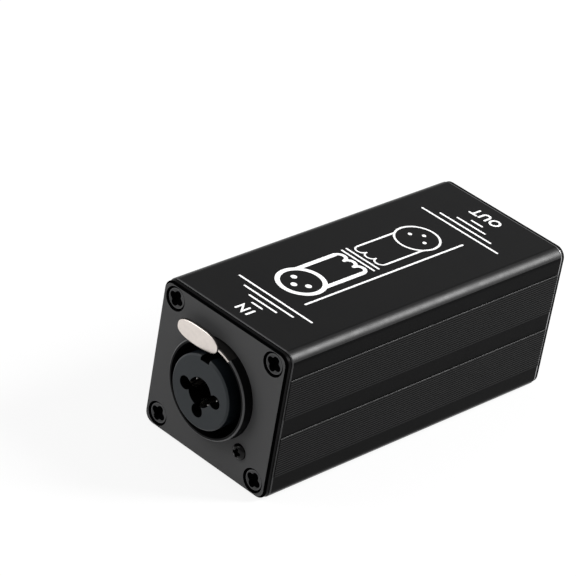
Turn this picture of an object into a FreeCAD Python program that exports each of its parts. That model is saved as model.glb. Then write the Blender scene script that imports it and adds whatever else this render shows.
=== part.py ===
import FreeCAD, Part
import math
import os
import Sketcher
from FreeCAD import Placement, Rotation, Vector

# Ground loop isolator: a ribbed aluminium tube with a combined XLR and jack socket in one end plate,
# an XLR plug in the other, and an audio transformer on a board between them.
# Millimetres, +Z up, the length along Y with the input end at -Y, origin under the middle of the case.

SIZES = {
    # how far a form runs into the one it joins, and how far a cut runs past what it cuts
    "merge": 0.5, "overshoot": 1.0,
    # case
    "box_width": 39.0, "box_height": 37.0, "box_length": 90.0,
    "plate_thick": 1.5, "plate_inset": 0.2, "plate_soft_edge": 0.45,
    "tube_wall": 2.0, "edge_radius": 2.8, "end_chamfer": 0.35,
    "band_tall": 10.0, "band_gap": 4.6, "band_rise": 0.2,
    "groove_pitch": 0.6, "groove_wide": 0.34, "groove_deep": 0.17, "groove_count": 16,
    "rail_reach": 1.4, "rail_tall": 1.1, "rail_play": 0.1,
    # corner screws, M3 countersunk
    "screw_x": 15.2, "screw_z": 14.8, "screw_radius": 1.5, "screw_length": 8.0,
    "screw_head_radius": 2.4, "screw_hole_radius": 1.6, "screw_sunk": 0.5, "screw_turn": 22.0,
    "boss_radius": 2.8, "cross_span": 3.3, "cross_wide": 1.05, "cross_deep": 0.7,
    # small dome-headed screws that hold the connectors
    "fixing_x": 10.15, "fixing_z": 10.9, "fixing_radius": 1.2, "fixing_head_radius": 1.9,
    "fixing_head_tall": 1.1, "fixing_length": 3.4, "dome_top_radius": 1.2, "dome_side_radius": 1.8,
    "dome_side": 0.5, "fixing_cross_span": 2.2, "fixing_cross_wide": 0.6, "fixing_cross_deep": 0.9,
    "recess_taper": -12.0,
    # what both connectors share, with how far their axis is above the middle of the plates
    "axis_lift": 0.7, "ring_radius": 11.65, "ring_play": 0.15, "flange_side": 26.4, "flange_thick": 2.0,
    "flange_cut": 1.8, "pin_circle": 4.3, "pin_radius": 1.2, "pin_root_radius": 1.0, "pin_spring": 0.05,
    # combined socket
    "ring_proud": 2.6, "ring_soft_edge": 0.3, "gap_radius": 10.85, "gap_deep": 9.0, "barrel_deep": 11.0,
    "insert_radius": 8.75, "insert_proud": 4.4, "insert_soft_edge": 0.4,
    "key_half": 1.3, "key_bottom": 7.65, "keyhole_radius": 3.5,
    "lobe_circle": 4.6, "lobe_radius": 1.6, "cavity_radius": 1.75, "cavity_front": -2.4,
    "jack_radius": 3.3, "tunnel_radius": 4.9, "tunnel_end": 29.0, "jack_end": 27.5,
    "foot_half": 5.5, "foot_front": 15.0, "foot_top": -0.5,
    # contacts of the combined socket
    "tip_contact_deep": 24.0, "ring_contact_deep": 16.5, "sleeve_contact_deep": 13.6,
    "grip_deep": 8.0, "socket_tail_deep": 13.0, "tail_half": 0.4, "tail_end": -12.4, "contact_play": 0.15,
    "window_half": 1.6, "window_inner": 2.9, "window_top": 2.6,
    "leaf_half": 1.2, "leaf_thick": 0.4, "leaf_top": 2.2, "leaf_foot": -9.0,
    "leaf_nose_tall": 1.4, "leaf_nose_half": 1.0, "leaf_press": 0.3,
    "finger_half": 0.9, "finger_thick": 0.45, "finger_tip": 4.2, "finger_bend": 6.4, "finger_bend_low": 3.05,
    "finger_tip_low": 4.2, "way_half": 1.2, "way_front": 2.4, "way_low": 3.0, "way_high": 5.9, "bridge_end": 7.65,
    # latch
    "tab_left": -10.9, "tab_right": 1.5, "tab_bottom": 9.0, "tab_top": 13.7, "tab_corner": 2.3,
    "tab_front": -2.9, "tab_thick": 0.7, "tab_soft_edge": 0.2, "tab_play": 0.35, "latch_travel": 1.2,
    "arm_inner": 10.6, "arm_outer": 11.1, "arm_half": 4.9, "arm_front": -2.5, "arm_back": 10.0,
    "slot_inner": 9.55, "slot_outer": 12.3, "slot_half": 5.25,
    "nose_half": 1.2, "nose_bottom": 9.2, "nose_front": 3.8, "nose_crest": 5.2, "nose_back": 6.4,
    "heel_half": 1.4, "heel_thick": 0.8, "heel_bottom": 9.9, "heel_top": 11.5,
    "spring_radius": 0.85, "spring_wire": 0.18, "spring_height": 10.7, "spring_turns": 4.0,
    "tower_front": 15.5, "tower_thick": 1.5, "tower_half": 2.2, "tower_top": 12.6,
    # plug connector
    "shell_proud": 1.5, "shell_soft_edge": 0.3, "recess_radius": 9.35, "recess_deep": 9.8,
    "shell_barrel_radius": 11.0, "shell_deep": 13.0, "pin_tip": 0.6,
    # board and transformer
    "board_top": -9.8, "board_thick": 1.6, "board_front": 11.4, "board_back": 13.2, "board_side_play": 0.2,
    "output_tail_deep": 15.0, "output_tail_step": 2.0,
    "core_y": 4.0, "core_long": 25.0, "core_tall": 20.8, "core_thick": 8.5, "core_lift": 0.8,
    "core_leg": 8.2, "window_tall": 12.4, "window_wide": 4.2,
    "bobbin_wall": 0.8, "bobbin_flange": 0.8, "bobbin_half": 8.6, "bobbin_side_play": 0.2,
    "bobbin_rail_play": 0.4, "primary_thick": 1.4, "secondary_thick": 1.2, "winding_corner": 1.2,
    "terminal_half": 0.3, "terminal_pitch": 3.8, "terminal_inset": 0.9, "terminal_root": 2.0,
}

doc = FreeCAD.newDocument("ground_loop_isolator")
sheet = doc.addObject("Spreadsheet::Sheet", "sizes")


class Size:
    """A number with the sheet expression that gives it, so that both stay together in a sum."""

    def __init__(self, value, text):
        self.value = float(value)
        self.text = text

    def __add__(self, other):
        return joined(self, "+", other, self.value + as_size(other).value)

    def __sub__(self, other):
        return joined(self, "-", other, self.value - as_size(other).value)

    def __rsub__(self, other):
        return joined(other, "-", self, as_size(other).value - self.value)

    def __mul__(self, other):
        return joined(self, "*", other, self.value * as_size(other).value)

    def __truediv__(self, other):
        return joined(self, "/", other, self.value / as_size(other).value)

    def __neg__(self):
        return Size(-self.value, "(-1 * %s)" % self.text)

    __radd__ = __add__
    __rmul__ = __mul__


def as_size(item):
    return item if isinstance(item, Size) else Size(item, "(%.6f)" % item)


def joined(first, sign, second, value):
    return Size(value, "(%s %s %s)" % (as_size(first).text, sign, as_size(second).text))


class Sheet:
    """Reads a named size of the sheet as a Size."""

    def __getattr__(self, name):
        return Size(SIZES[name], "sizes.%s" % name)


def fill_sheet():
    for row, (name, value) in enumerate(SIZES.items(), start=1):
        sheet.set("A%d" % row, name)
        sheet.set("B%d" % row, str(value))
        sheet.setAlias("B%d" % row, name)
    doc.recompute()


fill_sheet()
S = Sheet()
PARTS = {}


# Placing

def place(item, x=0, y=0, z=0, turn=Rotation()):
    item.Placement = Placement(Vector(), turn)
    for axis, value in (("x", x), ("y", y), ("z", z)):
        item.setExpression("Placement.Base.%s" % axis, as_size(value).text)


def at_input(item):
    """The input face frame: x to the right of someone facing the plate, y into the case, z up."""
    place(item, y=-S.box_length / 2, z=S.box_height / 2)


def at_output(item):
    place(item, y=S.box_length / 2, z=S.box_height / 2, turn=Rotation(Vector(0, 0, 1), 180))


def at_socket(item):
    """As the input face frame, on the connector's axis."""
    place(item, y=-S.box_length / 2, z=S.box_height / 2 + S.axis_lift)


def at_plug(item):
    place(item, y=S.box_length / 2, z=S.box_height / 2 + S.axis_lift, turn=Rotation(Vector(0, 0, 1), 180))


def keep(item, put):
    put(item)
    PARTS[item.Label] = item
    return item


# Sketches

def body(label):
    return doc.addObject("PartDesign::Body", label)


def sketch(owner, plane, offset=0):
    """A sketch on the body's own plane: XZ faces -Y, YZ faces +X and XY faces +Z."""
    item = owner.newObject("Sketcher::SketchObject", owner.Label + "_sketch")
    base = [feature for feature in owner.Origin.OriginFeatures if feature.Role == plane + "_Plane"]
    item.AttachmentSupport = [(base[0], "")]
    item.MapMode = "FlatFace"
    away = -as_size(offset) if plane == "XZ" else as_size(offset)
    item.setExpression("AttachmentOffset.Base.z", away.text)
    return item


def pin_point(item, curve, point, x, y):
    """Fixes one point of a curve at x, y from the sketch's origin."""
    for kind, value, axis in (("DistanceX", as_size(x), -2), ("DistanceY", as_size(y), -1)):
        if abs(value.value) < 1e-9:
            item.addConstraint(Sketcher.Constraint("PointOnObject", curve, point, axis))
            continue
        number = item.addConstraint(Sketcher.Constraint(kind, -1, 1, curve, point, value.value))
        item.setExpression("Constraints[%d]" % number, value.text)


def set_radius(item, curve, radius):
    number = item.addConstraint(Sketcher.Constraint("Radius", curve, radius.value))
    item.setExpression("Constraints[%d]" % number, radius.text)


def polygon(item, points):
    points = [(as_size(x), as_size(y)) for x, y in points]
    first = item.GeometryCount
    count = len(points)
    for number in range(count):
        start, end = points[number], points[(number + 1) % count]
        line = Part.LineSegment(Vector(start[0].value, start[1].value, 0), Vector(end[0].value, end[1].value, 0))
        item.addGeometry(line, False)
    for number, (x, y) in enumerate(points):
        before = first + (number - 1) % count
        item.addConstraint(Sketcher.Constraint("Coincident", before, 2, first + number, 1))
        pin_point(item, first + number, 1, x, y)


def rectangle(item, left, right, low, high):
    polygon(item, [(left, low), (right, low), (right, high), (left, high)])


def circle(item, x, y, radius):
    x, y, radius = as_size(x), as_size(y), as_size(radius)
    number = item.addGeometry(Part.Circle(Vector(x.value, y.value, 0), Vector(0, 0, 1), radius.value), False)
    pin_point(item, number, 3, x, y)
    set_radius(item, number, radius)


def arched_band(item, inner, outer, half):
    """The stretch of a ring above the centre that lies between x = -half and x = half."""
    arcs = []
    for radius in (inner, outer):
        tall = (radius.value ** 2 - half.value ** 2) ** 0.5
        right, top, left = Vector(half.value, tall, 0), Vector(0, radius.value, 0), Vector(-half.value, tall, 0)
        arcs.append(item.addGeometry(Part.Arc(right, top, left), False))
        item.addConstraint(Sketcher.Constraint("Coincident", arcs[-1], 3, -1, 1))
        set_radius(item, arcs[-1], radius)
        for point, side in ((1, half), (2, -half)):
            number = item.addConstraint(Sketcher.Constraint("DistanceX", -1, 1, arcs[-1], point, side.value))
            item.setExpression("Constraints[%d]" % number, side.text)
    for point in (1, 2):
        ends = [item.getPoint(arc, point) for arc in arcs]
        side = item.addGeometry(Part.LineSegment(*ends), False)
        item.addConstraint(Sketcher.Constraint("Coincident", side, 1, arcs[0], point))
        item.addConstraint(Sketcher.Constraint("Coincident", side, 2, arcs[1], point))


# Features

def feature(owner, kind, profile):
    item = owner.newObject("PartDesign::" + kind, owner.Label + "_" + kind.lower())
    item.Profile = profile
    profile.Visibility = False
    return item


def pad(owner, profile, length, inward=True, midplane=False):
    """Adds the profile's prism, from an XZ sketch towards +Y unless inward is False."""
    item = feature(owner, "Pad", profile)
    item.setExpression("Length", as_size(length).text)
    item.Reversed = inward and not midplane
    item.SideType = 2 if midplane else 0
    doc.recompute()
    return item


def pocket(owner, profile, length, midplane=False, taper=None):
    """Cuts the profile's prism, from an XZ sketch towards +Y, and makes sure that it cuts."""
    before = owner.Shape.Volume
    item = feature(owner, "Pocket", profile)
    item.setExpression("Length", as_size(length).text)
    item.SideType = 2 if midplane else 0
    if taper:
        item.setExpression("TaperAngle", taper.text)
    doc.recompute()
    if owner.Shape.Volume >= before - 1e-6:
        raise RuntimeError("a pocket of %s cuts nothing" % owner.Label)
    return item


def revolve(owner, profile, axis="H_Axis"):
    item = feature(owner, "Revolution", profile)
    item.ReferenceAxis = (profile, [axis])
    item.Angle = 360
    doc.recompute()
    return item


def edges(owner, wanted):
    return ["Edge%d" % number for number, edge in enumerate(owner.Tip.Shape.Edges, start=1) if wanted(edge)]


def soften(owner, kind, wanted, size):
    """A Fillet or Chamfer on the edges of the body so far that wanted picks."""
    picked = edges(owner, wanted)
    if not picked:
        raise RuntimeError("%s has no edge for its %s" % (owner.Label, kind))
    base = owner.Tip
    item = owner.newObject("PartDesign::" + kind, owner.Label + "_" + kind.lower())
    item.Base = (base, picked)
    item.setExpression("Radius" if kind == "Fillet" else "Size", as_size(size).text)
    doc.recompute()
    return item


def along_y(edge):
    box = edge.BoundBox
    return box.YLength > 1e-6 and box.XLength < 1e-6 and box.ZLength < 1e-6


def along_z(edge):
    box = edge.BoundBox
    return box.ZLength > 1e-6 and box.XLength < 1e-6 and box.YLength < 1e-6


def lies_at_y(edge, y):
    box = edge.BoundBox
    return abs(box.YMin - y) < 1e-6 and abs(box.YMax - y) < 1e-6


def is_round(edge, radius):
    return hasattr(edge.Curve, "Radius") and abs(edge.Curve.Radius - radius) < 1e-6


# Primitives

def box(x, y, z):
    """A block between the low and high ends given for each axis."""
    item = doc.addObject("Part::Box", "block")
    for name, axis, (low, high) in zip(("Length", "Width", "Height"), "xyz", (x, y, z)):
        item.setExpression(name, (as_size(high) - as_size(low)).text)
        item.setExpression("Placement.Base.%s" % axis, as_size(low).text)
    return item


def rod(x, z, radius, y):
    """A cylinder along Y between the ends given."""
    item = doc.addObject("Part::Cylinder", "rod")
    item.Placement = Placement(Vector(), Rotation(Vector(1, 0, 0), -90))
    item.setExpression("Radius", as_size(radius).text)
    item.setExpression("Height", (as_size(y[1]) - as_size(y[0])).text)
    for axis, value in (("x", x), ("y", y[0]), ("z", z)):
        item.setExpression("Placement.Base.%s" % axis, as_size(value).text)
    return item


def ball(x, y, z, radius):
    item = doc.addObject("Part::Sphere", "ball")
    item.setExpression("Radius", as_size(radius).text)
    for axis, value in (("x", x), ("y", y), ("z", z)):
        item.setExpression("Placement.Base.%s" % axis, as_size(value).text)
    return item


def fuse(label, items):
    item = doc.addObject("Part::MultiFuse", label)
    item.Shapes = items
    item.Refine = True
    doc.recompute()
    return item


def cut(label, base, tools):
    item = doc.addObject("Part::Cut", label)
    item.Base = base
    item.Tool = tools[0] if len(tools) == 1 else fuse(label + "_tool", tools)
    item.Refine = True
    doc.recompute()
    return item


def copies(label, master, spots):
    """Like solids in one node: the master at each x, z of the face frame."""
    shapes = []
    for x, z in spots:
        shape = master.Shape.copy()
        shape.translate(Vector(as_size(x).value, 0, as_size(z).value))
        shapes.append(shape)
    item = doc.addObject("Part::Feature", label)
    item.Shape = Part.makeCompound(shapes)
    return item


# Places that several pieces share, the corners in a face frame and the others from the connector's axis

def corners():
    return [(sx * S.screw_x, sz * S.screw_z) for sx in (-1, 1) for sz in (-1, 1)]


def output_fixing_spots():
    return [(-S.fixing_x, S.fixing_z), (S.fixing_x, -S.fixing_z)]


def input_fixing_spots():
    return output_fixing_spots()[1:]


def socket_spots(away=S.pin_circle):
    """Pins one and two level with the axis, pin three below it."""
    return [(away, 0), (-away, 0), (0, -away)]


def plug_spots():
    return [(0, S.pin_circle), (0, -S.pin_circle), (-S.pin_circle, 0)]


# Case

def case_tube():
    tube = body("case_tube")
    length = S.box_length - 2 * S.plate_thick
    back = length / 2
    side = S.box_width / 2 - S.band_rise
    top = S.box_height / 2
    outline = sketch(tube, "XZ", -back)
    rectangle(outline, -side, side, -top, top)
    pad(tube, outline, length)
    soften(tube, "Fillet", along_y, S.edge_radius)
    soften(tube, "Chamfer", lambda edge: lies_at_y(edge, -back.value) or lies_at_y(edge, back.value),
           S.end_chamfer)
    bands = sketch(tube, "XZ", -back + S.end_chamfer)
    for low in (S.band_gap / 2, -S.band_gap / 2 - S.band_tall):
        for near, far in ((side - S.merge, side + S.band_rise), (-side - S.band_rise, -side + S.merge)):
            rectangle(bands, near, far, low, low + S.band_tall)
    pad(tube, bands, length - 2 * S.end_chamfer)
    hollow = sketch(tube, "XZ", -back)
    rectangle(hollow, -side + S.tube_wall, side - S.tube_wall, -top + S.tube_wall, top - S.tube_wall)
    pocket(tube, hollow, length)
    add_inner_ribs(tube, back, length, side - S.tube_wall)
    holes = sketch(tube, "XZ", -back)
    for x, z in corners():
        circle(holes, x, z, S.screw_radius)
    pocket(tube, holes, length)
    cut_grooves(tube, back, length, side + S.band_rise)
    place(tube, z=S.box_height / 2)
    PARTS["case_tube"] = tube


def add_inner_ribs(tube, back, length, wall):
    """Screw channels in the corners and a pair of rails each side for the board's edges."""
    channels = sketch(tube, "XZ", -back)
    for x, z in corners():
        circle(channels, x, z, S.boss_radius)
    pad(tube, channels, length)
    rails = sketch(tube, "XZ", -back)
    board_bottom = S.board_top - S.board_thick
    for low in (S.board_top + S.rail_play + S.axis_lift, board_bottom - S.rail_tall + S.axis_lift):
        for near, far in ((wall - S.rail_reach, wall + S.merge), (-wall - S.merge, -wall + S.rail_reach)):
            rectangle(rails, near, far, low, low + S.rail_tall)
    pad(tube, rails, length)


def cut_grooves(tube, back, length, face):
    """Fine V grooves along both bands of each side."""
    first = S.band_gap / 2 + (S.band_tall - S.groove_pitch * (S.groove_count - 1)) / 2
    groove = sketch(tube, "XZ", -back)
    points = [(face, first - S.groove_wide / 2), (face, first + S.groove_wide / 2),
              (face - S.groove_deep, first)]
    polygon(groove, points)
    seed = pocket(tube, groove, length)
    multi = tube.newObject("PartDesign::MultiTransform", "case_tube_grooves")
    multi.Originals = [seed]
    steps = doc.addObject("PartDesign::LinearPattern", "groove_row")
    steps.Direction = (groove, ["V_Axis"])
    steps.setExpression("Length", (S.groove_pitch * (S.groove_count - 1)).text)
    steps.Occurrences = int(S.groove_count.value)
    planes = {item.Role: item for item in tube.Origin.OriginFeatures}
    mirrors = []
    for role in ("XY_Plane", "YZ_Plane"):
        mirror = doc.addObject("PartDesign::Mirrored", "groove_mirror")
        mirror.MirrorPlane = (planes[role], [""])
        mirrors.append(mirror)
    multi.Transformations = [steps] + mirrors
    tube.Tip = multi
    doc.recompute()


def end_plate(label, put, fixings):
    plate = body(label)
    half_x = S.box_width / 2 - S.band_rise - S.plate_inset
    half_z = S.box_height / 2 - S.plate_inset
    outline = sketch(plate, "XZ")
    rectangle(outline, -half_x, half_x, -half_z, half_z)
    pad(plate, outline, S.plate_thick)
    soften(plate, "Fillet", along_y, S.edge_radius - S.plate_inset)
    soften(plate, "Chamfer", lambda edge: lies_at_y(edge, 0), S.plate_soft_edge)
    openings = sketch(plate, "XZ")
    circle(openings, 0, S.axis_lift, S.ring_radius + S.ring_play)
    for x, z in fixings:
        circle(openings, x, z + S.axis_lift, S.fixing_radius)
    pocket(plate, openings, S.plate_thick)
    spots = sketch(plate, "XZ")
    for x, z in corners():
        circle(spots, x, z, S.screw_hole_radius)
    doc.recompute()
    hole = plate.newObject("PartDesign::Hole", label + "_holes")
    hole.Profile = spots
    doc.recompute()
    hole.ThreadType = 0
    hole.DepthType = "ThroughAll"
    hole.setExpression("Diameter", (2 * S.screw_hole_radius).text)
    hole.HoleCutType = "Countersink"
    hole.HoleCutCustomValues = True
    hole.setExpression("HoleCutDiameter", (2 * (S.screw_head_radius + S.screw_sunk)).text)
    hole.HoleCutCountersinkAngle = 90
    doc.recompute()
    keep(plate, put)


def cross(item, span, wide):
    """The plus-shaped mouth of a driver recess."""
    a, b = span / 2, wide / 2
    polygon(item, [(-b, -a), (b, -a), (b, -b), (a, -b), (a, b), (b, b),
                   (b, a), (-b, a), (-b, b), (-a, b), (-a, -b), (-b, -b)])


def corner_screw():
    screw = body("corner_screw")
    head = S.screw_head_radius - S.screw_radius
    profile = sketch(screw, "YZ")
    polygon(profile, [(0, 0), (0, S.screw_head_radius), (head, S.screw_radius),
                      (S.screw_length, S.screw_radius), (S.screw_length, 0)])
    revolve(screw, profile)
    mouth = sketch(screw, "XZ")
    cross(mouth, S.cross_span, S.cross_wide)
    pocket(screw, mouth, S.cross_deep, taper=S.recess_taper)
    place(screw, y=S.screw_sunk, turn=Rotation(Vector(0, 1, 0), S.screw_turn.value))
    doc.recompute()
    return screw


def fixing_screw():
    screw = body("fixing_screw")
    profile = sketch(screw, "YZ")
    polygon(profile, [(-S.fixing_head_tall, 0), (-S.fixing_head_tall, S.dome_top_radius),
                      (-S.dome_side, S.dome_side_radius),
                      (0, S.fixing_head_radius), (0, S.fixing_radius),
                      (S.fixing_length, S.fixing_radius), (S.fixing_length, 0)])
    revolve(screw, profile)
    mouth = sketch(screw, "XZ", -S.fixing_head_tall)
    cross(mouth, S.fixing_cross_span, S.fixing_cross_wide)
    pocket(screw, mouth, S.fixing_cross_deep, taper=S.recess_taper)
    place(screw, turn=Rotation(Vector(0, 1, 0), S.screw_turn.value))
    doc.recompute()
    return screw


def screws():
    corner, fixing = corner_screw(), fixing_screw()
    for name, put in (("input_plate_screws", at_input), ("output_plate_screws", at_output)):
        keep(copies(name, corner, corners()), put)
    keep(copies("input_fixing", fixing, input_fixing_spots()), at_socket)
    keep(copies("output_fixings", fixing, output_fixing_spots()), at_plug)


# Combined socket

def add_flange(item, inner, fixings):
    """The square flange that lies against the back of an end plate."""
    half = S.flange_side / 2
    outline = sketch(item, "XZ", S.plate_thick)
    rectangle(outline, -half, half, -half, half)
    circle(outline, 0, 0, inner)
    pad(item, outline, S.flange_thick)
    corner = half.value - 1e-3
    soften(item, "Chamfer", lambda edge: along_y(edge) and abs(edge.BoundBox.XMax) > corner
           and abs(edge.BoundBox.ZMax) > corner, S.flange_cut)
    holes = sketch(item, "XZ", S.plate_thick)
    for x, z in fixings:
        circle(holes, x, z, S.fixing_radius)
    pocket(item, holes, S.flange_thick)


def combo_housing():
    item = body("combo_housing")
    front = -S.ring_proud
    profile = sketch(item, "YZ")
    polygon(profile, [(front, S.gap_radius), (front, S.ring_radius), (S.barrel_deep, S.ring_radius),
                      (S.barrel_deep, S.tunnel_radius), (S.tunnel_end, S.tunnel_radius), (S.tunnel_end, 0),
                      (S.gap_deep, 0), (S.gap_deep, S.gap_radius)])
    revolve(item, profile)
    soften(item, "Chamfer", lambda edge: lies_at_y(edge, front.value) and is_round(edge, S.ring_radius.value),
           S.ring_soft_edge)
    add_flange(item, S.ring_radius - S.merge, input_fixing_spots())
    foot = sketch(item, "XZ", S.foot_front)
    rectangle(foot, -S.foot_half, S.foot_half, S.board_top, S.foot_top)
    pad(item, foot, S.tunnel_end - S.foot_front)
    tower = sketch(item, "XZ", S.tower_front)
    rectangle(tower, -S.tower_half, S.tower_half, S.tunnel_radius - S.overshoot, S.tower_top)
    pad(item, tower, S.tower_thick)
    cut_housing_bores(item)
    cut_contact_slots(item)
    cut_latch_room(item)
    keep(item, at_socket)


def cut_housing_bores(item):
    bore = sketch(item, "XZ", S.gap_deep)
    circle(bore, 0, 0, S.jack_radius)
    pocket(item, bore, S.jack_end - S.gap_deep)
    for x, z in socket_spots():
        seat = sketch(item, "XZ", S.gap_deep)
        circle(seat, x, z, S.cavity_radius)
        pocket(item, seat, S.barrel_deep - S.gap_deep)


def cut_contact_slots(item):
    """Windows through which the jack contacts reach the plug, and the sleeve contact's way in."""
    half, inner, outer = S.window_half, S.window_inner, S.foot_half + S.overshoot
    for deep, left, right in ((S.ring_contact_deep, inner, outer), (S.tip_contact_deep, -outer, -inner)):
        window = sketch(item, "XZ", deep - half)
        rectangle(window, left, right, S.board_top - S.overshoot, S.window_top)
        pocket(item, window, 2 * half)
    way = sketch(item, "XZ", S.gap_deep)
    rectangle(way, -S.way_half, S.way_half, S.way_low, S.way_high)
    pocket(item, way, S.barrel_deep - S.gap_deep)


def cut_latch_room(item):
    """The slot along the top of the barrel for the latch arm, and the sunk bed behind the tab."""
    front = -S.ring_proud
    slot = sketch(item, "XZ", front)
    arched_band(slot, S.slot_inner, S.slot_outer, S.slot_half)
    pocket(item, slot, S.barrel_deep - front)
    bed = sketch(item, "XZ", front)
    play = S.tab_play
    rectangle(bed, S.tab_left - play, S.tab_right + play, S.tab_bottom - play, S.tab_top + play)
    floor = S.tab_front + S.tab_thick + S.latch_travel + play
    pocket(item, bed, floor - front)


def combo_insert():
    item = body("combo_insert")
    front = -S.insert_proud
    profile = sketch(item, "YZ")
    polygon(profile, [(front, 0), (front, S.insert_radius), (S.gap_deep, S.insert_radius), (S.gap_deep, 0)])
    revolve(item, profile)
    soften(item, "Chamfer", lambda edge: lies_at_y(edge, front.value), S.insert_soft_edge)
    length = S.gap_deep - front
    keyhole = sketch(item, "XZ", front)
    circle(keyhole, 0, 0, S.keyhole_radius)
    pocket(item, keyhole, length)
    for x, z in socket_spots(S.lobe_circle):
        lobe = sketch(item, "XZ", front)
        circle(lobe, x, z, S.lobe_radius)
        pocket(item, lobe, S.cavity_front - front)
    for x, z in socket_spots():
        cavity = sketch(item, "XZ", S.cavity_front)
        circle(cavity, x, z, S.cavity_radius)
        pocket(item, cavity, S.gap_deep - S.cavity_front)
    key = sketch(item, "XZ", front)
    rectangle(key, -S.key_half, S.key_half, S.key_bottom, S.insert_radius + S.overshoot)
    pocket(item, key, length)
    way = sketch(item, "XZ", S.way_front)
    rectangle(way, -S.way_half, S.way_half, S.way_low, S.way_high)
    pocket(item, way, S.gap_deep - S.way_front)
    keep(item, at_socket)


def in_order(*ends):
    return tuple(sorted(ends, key=lambda size: size.value))


def socket_contact(number, x, z):
    """A sprung sleeve for one plug pin, open towards the jack hole, with its tail down to the board."""
    front = S.cavity_front + S.contact_play
    sleeve = rod(x, z, S.cavity_radius, (front, S.barrel_deep))
    bore = rod(x, z, S.pin_radius + S.pin_spring, (front - S.overshoot, S.grip_deep))
    clear = rod(0, 0, S.jack_radius + S.contact_play, (front - S.overshoot, S.barrel_deep + S.overshoot))
    near = S.tunnel_radius + S.contact_play
    half = S.tail_half
    back = (S.barrel_deep, S.socket_tail_deep + half)
    down = (S.socket_tail_deep - half, S.socket_tail_deep + half)
    if x:
        side = x / abs(x.value)
        across = in_order(side * near, side * (near + 2 * half))
        link = box(across, back, (-half, half))
        drop = box(across, down, (S.tail_end, half))
    else:
        link = box((-half, half), back, (-near - 2 * half, -near))
        drop = box((-half, half), down, (S.tail_end, -near))
    grip = cut("socket_sleeve_%d" % number, sleeve, [bore, clear])
    keep(fuse("socket_contact_%d" % number, [grip, link, drop]), at_socket)


def side_contact(label, side, deep):
    """A leaf beside the jack tunnel, with a nose through its window and a tail to the board."""
    near = S.tunnel_radius
    across = in_order(side * near, side * (near + S.leaf_thick))
    leaf = box(across, (deep - S.leaf_half, deep + S.leaf_half), (S.leaf_foot, S.leaf_top))
    tail = box(across, (deep - S.tail_half, deep + S.tail_half), (S.tail_end, S.leaf_foot))
    nose = body(label + "_nose")
    profile = sketch(nose, "XZ", deep - S.leaf_nose_half)
    polygon(profile, [(side * near, -S.leaf_nose_tall), (side * near, S.leaf_nose_tall),
                      (side * (S.jack_radius - S.leaf_press), 0)])
    pad(nose, profile, 2 * S.leaf_nose_half)
    keep(fuse(label, [leaf, tail, nose]), at_socket)


def sleeve_contact():
    """A long finger over the jack tunnel that bears on the plug's sleeve inside the insert."""
    deep, half, thick = S.sleeve_contact_deep, S.finger_half, S.finger_thick
    low = S.tunnel_radius
    finger = body("jack_sleeve_finger")
    profile = sketch(finger, "YZ")
    polygon(profile, [(deep + half, low), (deep + half, low + thick), (S.barrel_deep, low + thick),
                      (S.finger_bend, S.finger_bend_low + thick), (S.finger_tip, S.finger_tip_low + thick),
                      (S.finger_tip, S.finger_tip_low), (S.finger_bend, S.finger_bend_low),
                      (S.barrel_deep, low)])
    pad(finger, profile, 2 * half, midplane=True)
    outer = (S.bridge_end - thick, S.bridge_end)
    bridge = box((-half, S.bridge_end), (deep - half, deep + half), (low, low + thick))
    leg = box(outer, (deep - half, deep + half), (S.leaf_foot, low + thick))
    tail = box(outer, (deep - S.tail_half, deep + S.tail_half), (S.tail_end, S.leaf_foot))
    keep(fuse("jack_sleeve_contact", [finger, bridge, leg, tail]), at_socket)


def combo_latch():
    """A pressed tab on an arched arm that slides in the top of the barrel, with a nose that catches."""
    item = body("combo_latch")
    tab = sketch(item, "XZ", S.tab_front)
    rectangle(tab, S.tab_left, S.tab_right, S.tab_bottom, S.tab_top)
    pad(item, tab, S.tab_thick)
    soften(item, "Fillet", along_y, S.tab_corner)
    soften(item, "Chamfer", lambda edge: lies_at_y(edge, S.tab_front.value), S.tab_soft_edge)
    arm = sketch(item, "XZ", S.arm_front)
    arched_band(arm, S.arm_inner, S.arm_outer, S.arm_half)
    pad(item, arm, S.arm_back - S.arm_front)
    nose = sketch(item, "YZ")
    top = (S.arm_inner + S.arm_outer) / 2
    polygon(nose, [(S.nose_front, top), (S.nose_crest, S.nose_bottom), (S.nose_back, S.nose_bottom),
                   (S.nose_back, top)])
    pad(item, nose, 2 * S.nose_half, midplane=True)
    heel = sketch(item, "XZ", S.arm_back - S.heel_thick)
    rectangle(heel, -S.heel_half, S.heel_half, S.heel_bottom, S.heel_top)
    pad(item, heel, S.heel_thick)
    keep(item, at_socket)


def latch_spring():
    """A coil from the latch's heel to the tower behind it. Its wire has six flats."""
    radius, wire = S.spring_radius.value, S.spring_wire.value
    rise = S.tower_front.value - S.arm_back.value - 2 * wire
    around = [math.radians(60 * step) for step in range(7)]
    section = Part.makePolygon([Vector(radius + wire * math.cos(a), 0, wire * math.sin(a)) for a in around])
    helix = Part.makeHelix(rise / S.spring_turns.value, rise, radius)
    coil = Part.Wire(helix).makePipeShell([section], True, True)
    coil.rotate(Vector(), Vector(1, 0, 0), -90)
    coil.translate(Vector(0, S.arm_back.value + wire, S.spring_height.value))
    item = doc.addObject("Part::Feature", "latch_spring")
    item.Shape = Part.makeCompound([coil])
    keep(item, at_socket)


# Plug connector

def output_housing():
    item = body("output_housing")
    front = -S.shell_proud
    step = S.plate_thick + S.flange_thick
    profile = sketch(item, "YZ")
    polygon(profile, [(front, S.recess_radius), (front, S.ring_radius), (step, S.ring_radius),
                      (step, S.shell_barrel_radius), (S.shell_deep, S.shell_barrel_radius),
                      (S.shell_deep, S.recess_radius)])
    revolve(item, profile)
    soften(item, "Chamfer", lambda edge: lies_at_y(edge, front.value), S.shell_soft_edge)
    add_flange(item, S.ring_radius - S.merge, output_fixing_spots())
    keep(item, at_plug)


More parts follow.
